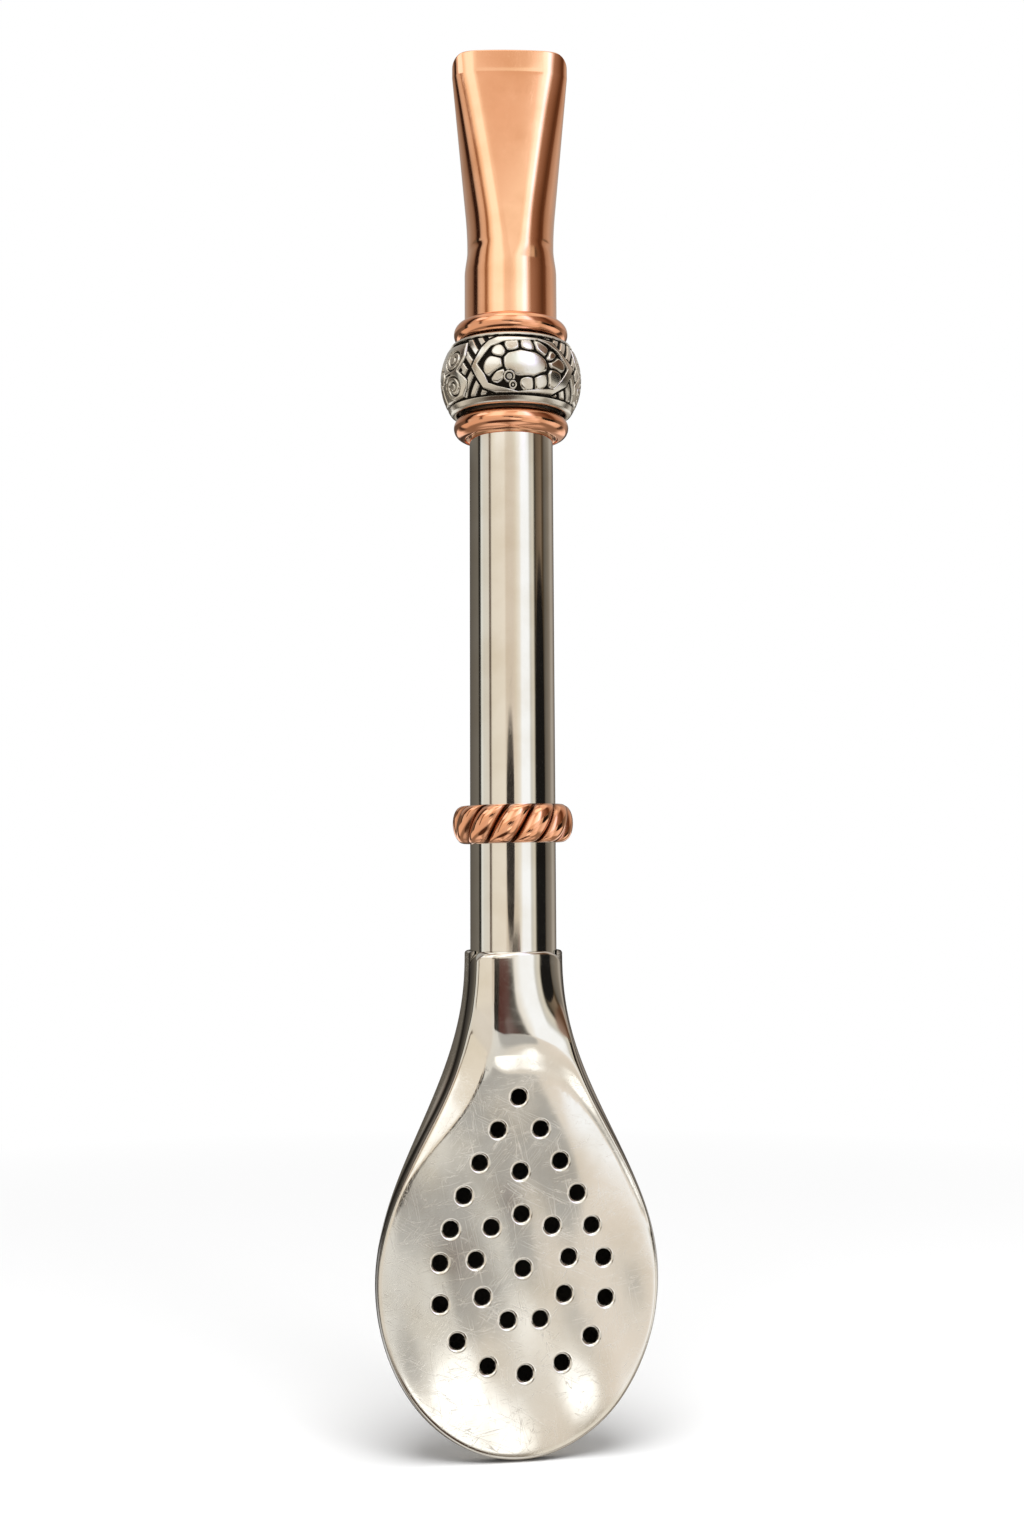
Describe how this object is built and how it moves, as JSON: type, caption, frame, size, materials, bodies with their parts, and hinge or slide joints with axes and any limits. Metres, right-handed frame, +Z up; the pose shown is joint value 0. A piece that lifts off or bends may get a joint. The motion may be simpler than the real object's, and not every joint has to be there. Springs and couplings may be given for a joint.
{
  "type": "mate drinking straw",
  "caption": "Metal drinking straw for mate with a flattened mouthpiece, a carved bead between collar rings, a loose twisted ring and a pull-off perforated spoon filter.",
  "frame": {"origin": "on the stem's axis, level with the spoon's tip", "axes": "+Z up the stem from the spoon to the mouthpiece, +X across the spoon, perforated side towards -Y"},
  "size_m": [0.032, 0.0166, 0.1645],
  "materials": {
    "mouthpiece_copper": "polished copper with fine scratches",
    "ring_copper": "polished copper",
    "antique_alloy": "antiqued white metal, dark in its recesses",
    "stem_steel": "mirror polished",
    "filter_steel": "polished and worn, with fine scratches"
  },
  "bodies": {
    "stem_assembly": {"stem": "stem_steel", "mouthpiece": "mouthpiece_copper", "upper_collar_ring": "ring_copper", "lower_collar_ring": "ring_copper"},
    "bead": {"bead_shell": "antique_alloy", "bead_sleeve": "antique_alloy"},
    "slip_ring": {"twisted_ring": "ring_copper"},
    "filter": {"filter_front_plate": "filter_steel", "filter_back_shell": "filter_steel"}
  },
  "joints": [
    {"name": "bead_spin", "type": "hinge", "parent": "stem_assembly", "child": "bead", "pos_m": [0, 0, 0.12304], "axis": [0, 0, 1], "continuous": true},
    {"name": "ring_slide", "type": "slide", "parent": "stem_assembly", "child": "slip_ring", "axis": [0, 0, 1], "range_m": [-0.0119, 0.0434]},
    {"name": "filter_pull", "type": "slide", "parent": "stem_assembly", "child": "filter", "axis": [0, 0, -1], "range_m": [0, 0.024]}
  ]
}
